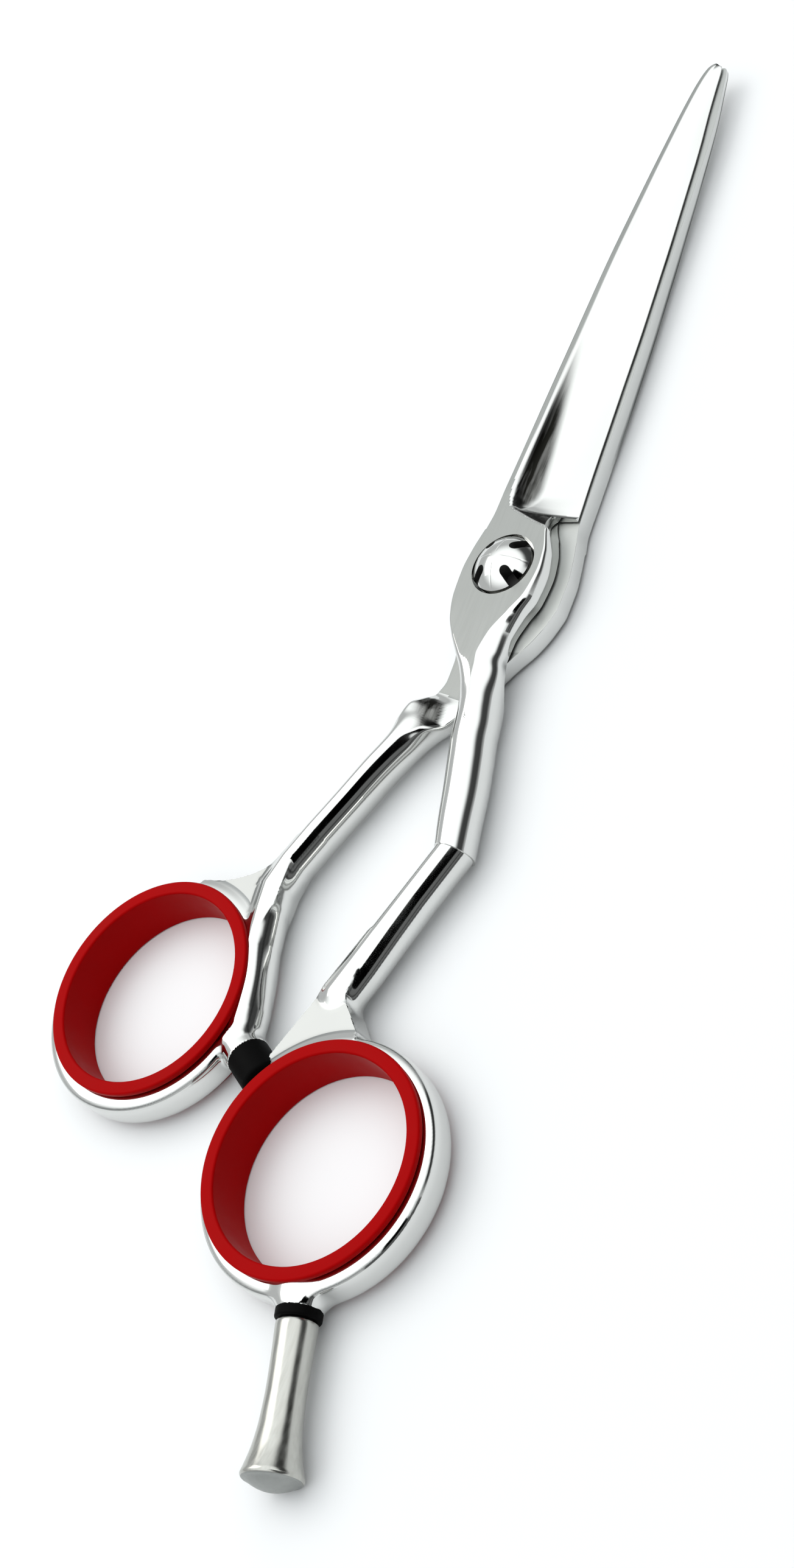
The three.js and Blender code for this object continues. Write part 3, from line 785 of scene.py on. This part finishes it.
def tones_of(vertices, level, spine):
    """Where the steel is painted dark: painted dark reflections in the hollow, on the strip along the spine
    and on the spine's outer edge; painted shade on the ramp at the hollow's end and where the shank steps up.
    Where it is grey: on the strip along the spine."""
    dark, grey = np.zeros(len(vertices)), np.zeros(len(vertices))
    for index, (x, y, z) in enumerate(vertices):
        w, i = z - PLANE, index % AROUND
        beside = x - spine(y)
        if FIRST_TOP <= i <= LAST_TOP and y > BLADE_FROM:
            start = FLAT_WIDTH(y) + BRIGHT_STRIP
            end = start + HOLLOW_WIDTH(y)
            # painted dark reflection in the hollow
            dark[index] = ramp(beside, start, start + 0.25) * (1 - ramp(beside, end - 1.0, end))
            dark[index] *= ramp(y, STEP_Y - 0.1, STEP_Y + 0.1) * (1 - ramp(y, *HOLLOW_FADES))
            # painted shade on the ramp at the hollow's end
            on_ramp = ramp(level(y) - w, 0.03, 0.2) * (1 - ramp(y, STEP_Y - 0.25, STEP_Y))
            dark[index] = max(dark[index], on_ramp)
        if FIRST_TOP <= i <= LAST_TOP + ARC and y > STRIP_BEGINS[0]:
            strip = 1 - ramp(beside, FLAT_WIDTH(y) - 0.05, FLAT_WIDTH(y) + 0.15)
            grey[index] = strip * ramp(y, *STRIP_BEGINS)
            # painted dark reflection on the strip along the spine and on the spine's outer edge
            outer_edge = 0.9 * ramp(y, *OUTER_EDGE_BEGINS) if i >= LAST_TOP else 0
            dark[index] = max(dark[index], 0.45 * grey[index], outer_edge)
        if ARC < i <= ARC + LOW + 2 and SHANK_STEP[0] < y < SHANK_STEP[1]:
            # painted shade where the shank steps up
            dark[index] = ramp(-w, 0.2, 0.6) * (1 - ramp(-w, 1.5, 2.1))
    return {"dark": dark, "grey": grey}


def loft_object(name, rows, level, spine, turn_over):
    vertices, faces = skin(rows)
    # the dark tone carries painted shade and painted dark reflections
    marks, tones = steel_faces(vertices, faces, level), tones_of(vertices, level, spine)
    if turn_over:
        vertices = vertices * [-1, 1, -1] + [0, 0, 2 * PLANE]
    return make_object(name, vertices, faces, [POLISHED, SATIN, GROUND], marks, 24, tones)


def cut(obj, outline):
    """Cuts a solid of revolution about the pivot axis out of a piece."""
    subtract(obj, make_object("cutter", *lathe(outline), [POLISHED]))


def subtract(obj, other):
    other.modifiers.clear()
    obj.modifiers.clear()
    boolean = obj.modifiers.new("boolean", "BOOLEAN")
    boolean.operation = "DIFFERENCE"
    boolean.solver = "EXACT"
    boolean.object = other
    evaluated = obj.evaluated_get(bpy.context.evaluated_depsgraph_get())
    result = bpy.data.meshes.new_from_object(evaluated)
    obj.modifiers.remove(boolean)
    obj.data = result
    bpy.data.objects.remove(other)
    finish_mesh(obj, 24)


FINGER_SPINE = smooth([(70.8, -0.15), (70.65, -0.5), (70.2, -0.9), (69.2, -1.25), (67, -1.65), (60, -2.25),
                       (50, -2.7), (40, -3.05), (30, -3.35), (20, -3.65), (12, -3.75), (7, -3.8), (4, -4.2)])
FINGER_EDGE = smooth([(70.8, 0.5), (70.5, 0.62), (67.4, 0.95), (64.4, 1.25), (58.3, 2.0), (51.2, 2.65),
                      (44, 3.25), (37.6, 3.7), (31.6, 4.1), (25.5, 4.4), (19.5, 4.7), (13.4, 5.0), (7, 5.4)])
BLADE_RIDGE = smooth([(71, 0.8), (61, 1.1), (50, 1.6), (40, 2.0), (30, 2.12), (20, 2.25), (12, 2.5), (9, 2.6),
                      (4, 2.6)])
FINGER_BOSS_RIGHT = smooth([(7.1, 2.85), (6.2, 3.1), (4.4, 4.0)])


def flat_level(y):
    return BLADE_RIDGE(y) if y > RIDGE_FROM else BOSS_TOP


def finger_loft():
    rows = blade_rows(FINGER_SPINE, FINGER_EDGE, BLADE_RIDGE, FINGER_BOSS_RIGHT, BOSS_TOP)
    gap = FACE_GAP
    boss = [
        ((-4.2, 4.4), (4.0, 4.4), 0.4, 0.1), ((-4.8, 1.8), (4.95, 1.8), 0.55, 0.12),
        ((-5.1, -0.7), (5.3, -0.7), 0.7, 0.15), ((-5.0, -3.5), (5.1, -3.4), 0.95, 0.2),
        ((-4.35, -6.4), (4.2, -5.8), 1.35, 0.3), ((-3.3, -8.6), (3.55, -8.3), 2.0, 0.5),
        ((-2.0, -10.7), (3.5, -10.4), 2.4, 0.8),
    ]
    keys = [key(left, right, BOSS_TOP, gap, gap, (0.1, 0.1, *upper)) for left, right, *upper in boss]
    keys += [
        key((-1.0, -12.4), (3.95, -12.2), BOSS_TOP, gap, gap, (0.1, 0.1, 2.55, 1.1), 0, 0.1),
        key((-0.2, -14.5), (4.33, -14.3), BOSS_TOP, gap, -0.6, (0.1, 0.3, 2.6, 1.3), 0, 0.4),
        key((0.15, -16.4), (4.76, -16.1), BOSS_TOP, gap, -1.6, (0.3, 0.8, 2.6, 1.5), 0.02, 0.85),
        key((0.42, -18.2), (5.15, -17.8), BOSS_TOP, -1.4, -2.2, (0.8, 1.0, 2.5, 1.6), 0.1, 1.0),
        bar(3.08, -19.8, -78.5, 2.4, 2.58),
        bar(3.85, -22.8, -78, 2.4, 2.55),
        bar(4.7, -26.2, -77, 2.35, 2.5),
        bar(5.4, -29.5, -77.6, 2.25, 2.45),
        bar(*FINGER_KINK, FINGER_KINK_HEADING, 2.2, 2.4),
    ]
    rows += key_rows(FINGER_UPPER, keys)
    return loft_object("finger_forging", rows, flat_level, FINGER_SPINE, False)


def end_mesh(quarter, chain, outline, ring, shift, seat, seat_blend, low, high):
    """A shank's end, its ring, the web inside the given outline and a seat, blended into each other."""
    def shape(points):
        x, y = points[:2]
        shank = np.minimum(bar_chain(quarter, points, chain), bar_end(quarter, points, chain[-1]))
        solid = blend(ring_shape(points, ring, shift), web_shape(points, outline, WEB), 1.0)
        solid = blend(blend(solid, shank, 0.8), rod_shape(points, *seat), seat_blend)
        return np.maximum(solid, RING_BORE - np.hypot(x - ring[0], y - ring[1]))

    return surface_of(shape, low, high)


def finger_end():
    """The shank beyond its kink, the ring, the web and the seat of the finger rest."""
    chain = [(6.9, -31.04, 1.95, 2.35), (4.0, -38.4, 1.97, 2.35), (2.5, -42.3, 2.08, 2.35),
             (1.0, -46.3, 2.22, 2.35), (-0.3, -49.6, 2.25, 2.3)]
    outline = bezier((1.2, -43.0), (-1.6, -49.0), (-5.2, -57.3))
    outline += [(-2, -60), (4, -56), (4.2, -53.5), (1, -50)]
    seat = (FINGER_RING, TANG_HEADING, 2.15, 11.0, TANG_SEAT + 0.28)
    return end_mesh(FINGER_LOWER, chain, outline, FINGER_RING, FINGER_RING_SHIFT, seat, 1.5,
                    (-10.5, -82.2, -2.9), (20.4, -30.2, 2.9))


# ---- thumb half: built face up, then turned over about the Y axis ----
THUMB_SPINE = smooth([(70.8, -0.75), (70.65, -1.0), (70.2, -1.2), (67.7, -1.65), (61.3, -2.55), (54, -3.1),
                      (40.3, -3.9), (31.6, -4.55), (21.5, -5.1), (11, -5.4), (7, -5.55), (4, -6.2)])
THUMB_EDGE = smooth([(70.8, -0.25), (70.5, -0.05), (66, 0.6), (60, 1.25), (50, 1.9), (40, 2.35), (30, 2.75),
                     (20, 3.1), (7, 3.7)])
THUMB_RIDGE = smooth([(71, 0.75), (61, 1.05), (50, 1.6), (40, 2.05), (20, 2.2), (9, 2.4), (4, 2.4)])
THUMB_BOSS_RIGHT = smooth([(7.1, 2.95), (4.4, 4.05)])


def thumb_level(y):
    return THUMB_RIDGE(y) if y > RIDGE_FROM else BOSS_UNDER


def thumb_loft():
    rows = blade_rows(THUMB_SPINE, THUMB_EDGE, THUMB_RIDGE, THUMB_BOSS_RIGHT, BOSS_UNDER)
    gap = FACE_GAP
    boss = [
        ((-6.1, 4.4), (4.05, 4.4), 0.35, 0.4), ((-6.6, 2.0), (5.0, 1.8), 0.35, 0.5),
        ((-6.95, -0.7), (5.25, -0.7), 0.4, 0.5), ((-6.95, -3.2), (5.0, -3.5), 0.8, 0.5),
        ((-6.35, -5.6), (4.6, -6.0), 0.8, 0.5), ((-5.2, -8.0), (4.1, -8.4), 0.8, 0.5),
        ((-3.5, -10.2), (3.55, -10.6), 0.8, 0.5), ((-1.6, -13.2), (3.5, -12.8), 0.8, 0.5),
    ]
    keys = [key(left, right, BOSS_UNDER, gap, gap, (0.06, 0.1, *upper)) for left, right, *upper in boss]
    keys += [
        key((-0.5, -15.4), (4.05, -14.4), 2.4, gap, gap, (0.1, 0.1, 1.1, 0.9)),
        key((0.3, -17.0), (4.95, -15.6), 2.42, gap, -1.1, (0.3, 0.8, 1.2, 1.1), 0.05, 0.1),
        key((1.15, -18.35), (5.9, -16.75), 2.45, -0.1, -2.2, (0.5, 1.0, 1.4, 1.2), 0.1, 0.3),
        key((2.5, -20.05), (6.8, -18.4), 2.48, -1.9, -2.4, (0.7, 1.0, 1.6, 1.3), 0.2, 0.65),
        bar(5.55, -21.2, -64, 1.95, 2.5),
        bar(7.25, -24.3, -64, 1.8),
        bar(9.15, -28.2, -64, 1.75),
        bar(-THUMB_SEAM[0], THUMB_SEAM[1], -180 - THUMB_SEAM_HEADING, 1.75),
    ]
    rows += key_rows(THUMB_SHANK, keys)
    return loft_object("thumb_forging", rows, thumb_level, THUMB_SPINE, True)


BUMPER_TARGET = FINGER_RING + FINGER_RING_SHIFT
BUMPER_HEADING = math.atan2(*(BUMPER_TARGET - BUMPER_SEAT)[::-1])
BUMPER_LENGTH = np.linalg.norm(BUMPER_TARGET - BUMPER_SEAT) - RING_BORE - RING_DEPTH - 0.35


def thumb_end():
    """The shank below its seam, the ring, the web and the seat of the bumper."""
    chain = [(-10.4, -30.51, 1.75, 2.5), (-12.9, -35.9, 1.75, 2.48), (-13.85, -39.0, 1.8, 2.45),
             (-13.6, -41.9, 1.8, 2.4), (-12.75, -45.9, 1.8, 2.35), (-11.7, -49.5, 1.8, 2.3),
             (-10.75, -52.8, 1.8, 2.3), (-10.25, -55.4, 1.75, 2.25)]
    outline = bezier((-12.9, -33.4), (-14.2, -38.6), (-22.8, -39.5))
    outline += [(-22.8, -41.5), (-14, -46), (-12.5, -41)]
    seat = (BUMPER_SEAT, BUMPER_HEADING, 2.3, -2.5, 0.0)
    return end_mesh(THUMB_SHANK, chain, outline, THUMB_RING, THUMB_RING_SHIFT, seat, 0.5,
                    (-38.0, -67.4, -2.9), (-4.6, -30.0, 2.9))


def weld(obj, end, seam, heading):
    """Joins a half's loft to its implicit end across a plane that stands on the seam."""
    angle = math.radians(heading)
    normal = Vector((math.cos(angle), math.sin(angle), 0))
    place = Vector((*seam, PLANE)) * MM
    gap = 0.04 * MM
    vertices, faces = end
    net = new_mesh("net", vertices, faces)
    from_web = np.abs(vertices[:, 2] - PLANE - WEB)
    store(net, "grey", 1 - ramp(from_web, 0.02, 0.12))
    end_part = bmesh.new()
    end_part.from_mesh(net)
    geometry = end_part.verts[:] + end_part.edges[:] + end_part.faces[:]
    bmesh.ops.bisect_plane(end_part, geom=geometry, plane_co=place + normal * gap, plane_no=normal,
                           clear_inner=True)
    end_part.to_mesh(net)
    end_part.free()
    obj.modifiers.clear()
    built = bmesh.new()
    built.from_mesh(obj.data)
    built.from_mesh(net)
    built.normal_update()
    caps = [f for f in built.faces if len(f.verts) > 4 and abs((f.verts[0].co - place).dot(normal)) < 1e-6
            and abs(f.normal.dot(normal)) > 0.99]
    bmesh.ops.delete(built, geom=caps, context="FACES_ONLY")
    bmesh.ops.bridge_loops(built, edges=[e for e in built.edges if e.is_boundary])
    built.to_mesh(obj.data)
    built.free()
    bpy.data.meshes.remove(net)
    finish_mesh(obj, 30)


# ---- inserts, bumper, finger rest, screw and nut ----
def insert(name, centre):
    """A sleeve with a flange on both faces, and a hole that narrows a little downwards."""
    top, lip, neck = INSERT_HEIGHT, 0.75, RING_BORE - 0.05
    outline = rounded(
        [(HOLE_BOTTOM, 0), (FLANGE, 0), (FLANGE, lip), (neck, lip), (neck, top - lip), (FLANGE, top - lip),
         (FLANGE, top), (HOLE_TOP, top)],
        [0.25, 0.25, 0.2, 0, 0, 0.2, 0.25, 0.25])
    vertices, faces = lathe(outline, 160)
    return make_object(name, vertices + [centre[0], centre[1], 0], faces, [RED], sharp=50)


def bumper():
    outline = rounded(cylinder(2.25, -0.6, BUMPER_LENGTH), [0, 0.05, 0.45, 0])
    vertices, faces = lathe(outline, 72)
    return make_object("bumper_rubber", laid(vertices, BUMPER_SEAT, BUMPER_HEADING), faces, [BLACK], sharp=50)


def along_tang(vertices):
    start = FINGER_RING + TANG_SEAT * np.array([math.cos(TANG_HEADING), math.sin(TANG_HEADING)])
    return laid(vertices, start, TANG_HEADING)


def tang_washer():
    outline = rounded([(1.0, 0.2), (2.25, 0.2), (2.25, 1.35), (1.0, 1.35)], [0, 0.25, 0.25, 0])
    vertices, faces = lathe(outline, 72)
    return make_object("finger_rest_washer_rubber", along_tang(vertices), faces, [BLACK], sharp=50)


def tang():
    """The finger rest: a waisted, flared rod with a rounded rim and a low satin dome."""
    seat, length, rim, corner, dome = 1.4, 14.3, 2.55, 0.43, 0.85
    grip = smooth([(0.0, 1.82), (0.15, 1.98), (0.4, 2.03), (3, 1.95), (6, 1.9), (9, 2.0), (11.6, 2.3),
                   (13.7, 2.8), (length, rim + corner)])
    end = seat + length
    outline = [(0, seat)] + [(grip(s), seat + s) for s in np.linspace(0, length, 60)]
    for k in range(1, 9):
        angle = math.radians(90 * k / 8)
        outline.append((rim + corner * math.cos(angle), end + corner * math.sin(angle)))
    for k in range(1, 11):
        radius = rim * (1 - k / 10)
        outline.append((radius, end + corner + dome * (1 - (radius / rim) ** 2)))
    vertices, faces = lathe(outline, 96)
    on_dome = [int(min(vertices[v][2] for v in face) > end + 0.3) for face in faces]
    return make_object("finger_rest_grip", along_tang(vertices), faces, [GRIP, SATIN], on_dome, 40)


TURNS = 2 * math.pi * np.arange(192) / 192


def circle(radius, height):
    """Points round the pivot axis, at one height or at a height each."""
    return np.c_[radius * np.cos(TURNS), radius * np.sin(TURNS), np.broadcast_to(height, len(TURNS))]


def pivot_screw():
    """A domed head with four open slots, and a fine crease down the middle of each quarter."""
    dome, rings, side = 1.7, 26, 0.75
    crease_depth, crease_width = 0.03, 0.05
    shank_radius, shank_end = 1.5, 0.9
    rim_height = HEAD_TOP - dome
    sphere = (HEAD_RADIUS ** 2 + dome ** 2) / (2 * dome)
    rows = []
    for radius in [HEAD_RADIUS * r / rings for r in range(rings + 1)]:
        off = radius * np.sin((TURNS + math.pi / 4) % (math.pi / 2) - math.pi / 4)
        crease = crease_depth * np.exp(-((off / crease_width) ** 2)) * ramp(radius, 0.3, 1.0)
        top = PLANE + rim_height + dome - sphere + math.sqrt(sphere ** 2 - radius ** 2)
        rows.append(circle(radius, top - crease))
    rows += [circle(HEAD_RADIUS, PLANE + rim_height - side), circle(shank_radius, shank_end)]
    screw = make_object("pivot_screw_head", *skin(rows), [POLISHED, SLOT_BLACK], sharp=40)
    for i in range(4):
        subtract(screw, slot_cutter(math.pi / 4 + i * math.pi / 2, rim_height))
    return screw


def slot_cutter(angle, rim_height):
    """A slot with a rounded inner end, open at the rim."""
    half, inner, outer, margin = 0.575, 1.7, 4.2, 0.5
    outline = [(outer, -half), (outer, half)]
    for k in range(13):
        turn = math.pi / 2 + math.pi * k / 12
        outline.append((inner + half + half * math.cos(turn), half * math.sin(turn)))
    c, s = math.cos(angle), math.sin(angle)
    low, high = PLANE + rim_height - margin, PLANE + HEAD_TOP + margin
    rows = [np.array([(x * c - y * s, x * s + y * c, z) for x, y in outline]) for z in (low, high)]
    vertices, faces = skin(rows)
    return make_object("cutter", vertices, faces, [POLISHED, SLOT_BLACK], [1] * len(faces))


def pivot_nut():
    outline = rounded([(0, 0), (NUT_RADIUS, 0), (NUT_RADIUS, 0.6), (2.6, 0.6), (2.6, 2.0), (0, 2.0)],
                      [0, 0.18, 0.05, 0, 0.1, 0])
    vertices, faces = lathe(outline, 96)
    return make_object("pivot_nut_turned", vertices, faces, [TURNED], sharp=40)


# ---- stage ----
def world():
    """A white surround with the dark parts of a room on the camera's side and to its right."""
    made = bpy.data.worlds.new("studio")
    bpy.context.scene.world = made
    made.use_nodes = True
    tree = made.node_tree
    background = tree.nodes["Background"]
    place = node(tree, "ShaderNodeTexCoord", {})["Generated"]
    height = node(tree, "ShaderNodeSeparateXYZ", {"Vector": place})["Z"]
    level = vector_math(tree, "NORMALIZE", {0: vector_math(tree, "MULTIPLY", {0: place, 1: (1, 1, 0)})})
    brightness = soft_step(tree, height, 0.35, 0.8, 0.65, 1.6)
    for azimuth, half_width, low, high, soft, darkness in DARK_PARTS:
        towards = (*cosines(azimuth), *sines(azimuth), 0)
        across = vector_math(tree, "DOT_PRODUCT", {0: level, 1: towards}, "Value")
        side = soft_step(tree, across, *cosines(half_width + soft, half_width), 0, darkness)
        above = soft_step(tree, height, *sines(low, low + soft), 0, 1)
        below = soft_step(tree, height, *sines(high, high + soft), 1, 0)
        dark = multiply(tree, multiply(tree, side, above), below)
        brightness = multiply(tree, brightness, map_to(tree, dark, 1, 0, 0, 1))
    tree.links.new(brightness, background.inputs["Strength"])
    background.inputs["Color"].default_value = (0.97, 0.995, 1, 1)


def cosines(*degrees):
    return [math.cos(math.radians(d)) for d in degrees]


def sines(*degrees):
    return [math.sin(math.radians(d)) for d in degrees]


def vector_math(tree, operation, inputs, output="Vector"):
    return node(tree, "ShaderNodeVectorMath", inputs, operation=operation)[output]


def multiply(tree, first, second):
    return node(tree, "ShaderNodeMath", {0: first, 1: second}, operation="MULTIPLY")["Value"]


def soft_step(tree, source, start, end, low, high):
    return map_to(tree, source, low, high, start, end, "SMOOTHSTEP")


# azimuth, half width, lowest and highest elevation, softness (degrees), darkness
DARK_PARTS = [
    (-25, 15, 26, 57, 2, 1.0),
    (-25, 30, -2, 27, 2, 0.75),
    (-25, 30, 3, 6, 1.5, 0.6),
    (-25, 30, 12, 16, 2, 0.6),
    (50, 28, -2, 27, 15, 0.9),
]


def key_light():
    """A wide, warm panel on the far side, high up."""
    data = bpy.data.lights.new("key", "AREA")
    data.shape = "RECTANGLE"
    data.size = data.size_y = 0.5
    data.energy = 1.0
    data.color = (1, 0.96, 0.92)
    obj = new_object("key", data)
    obj.location = (-0.42, 0.02, 0.55)
    obj.rotation_euler = (-obj.location).to_track_quat("-Z", "Y").to_euler()


def floor():
    size, height = 3000, -0.03
    corners = [(x * size, y * size, height) for x, y in ((-1, -1), (1, -1), (1, 1), (-1, 1))]
    mesh = new_mesh("floor", corners, [(0, 1, 2, 3)])
    mesh.materials.append(node_material("floor", (0.8, 0.81, 0.82), 0.0, 0.9)[0])
    new_object("floor", mesh)


def camera():
    data = bpy.data.cameras.new("camera")
    data.sensor_width = 36
    data.lens = 56.8
    data.clip_start = 0.01
    obj = new_object("camera", data)
    right = Vector((0.781942, 0.350938, -0.515179))
    up = Vector((-0.058144, 0.863925, 0.500252))
    back = Vector((0.620634, -0.361213, 0.695944))
    place = Matrix((right, up, back)).transposed().to_4x4()
    place.translation = Vector((0.15361, -0.11748, 0.18002))
    obj.matrix_world = place
    bpy.context.scene.camera = obj


# ---- assembly ----
def add(piece, body, replaced):
    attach(piece, body)
    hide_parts(replaced)


def finger_forging():
    finger = finger_loft()
    cut(finger, cylinder(COUNTERBORE, PLANE + BOSS_TOP - COUNTERBORE_DEPTH, PLANE + 4))
    cut(finger, cylinder(PIVOT_HOLE, PLANE - 1, PLANE + 2))
    weld(finger, finger_end(), FINGER_KINK, FINGER_KINK_HEADING)
    return finger


def thumb_forging():
    thumb = thumb_loft()
    cut(thumb, cylinder(NUT_RADIUS + 0.15, -1, 0.9))
    cut(thumb, cylinder(PIVOT_HOLE, 0.5, 4))
    cut(thumb, cylinder(4.2, PLANE - 0.6, 4))
    weld(thumb, thumb_end(), THUMB_SEAM, THUMB_SEAM_HEADING)
    return thumb


def build():
    add(finger_forging(), "finger_side", "finger_half")
    add(insert("finger_insert_rubber", FINGER_RING), "finger_side", "finger_insert")
    add(tang(), "finger_side", "finger_rest")
    add(tang_washer(), "finger_side", "finger_rest_washer")
    add(thumb_forging(), "thumb_side", "thumb_half")
    add(insert("thumb_insert_rubber", THUMB_RING), "thumb_side", "thumb_insert")
    add(bumper(), "thumb_side", "bumper")
    add(pivot_nut(), "thumb_side", "pivot_nut")
    add(pivot_screw(), "tension_screw", "pivot_screw")
    for name, material in (("pivot_bush", bronze()), ("bearing_washer", nylon()), ("head_washer", nylon())):
        obj = frame["nodes"][name]
        obj.data.materials.clear()
        obj.data.materials.append(material)


build()
floor()
world()
key_light()
camera()
bpy.context.scene.view_settings.view_transform = "Standard"
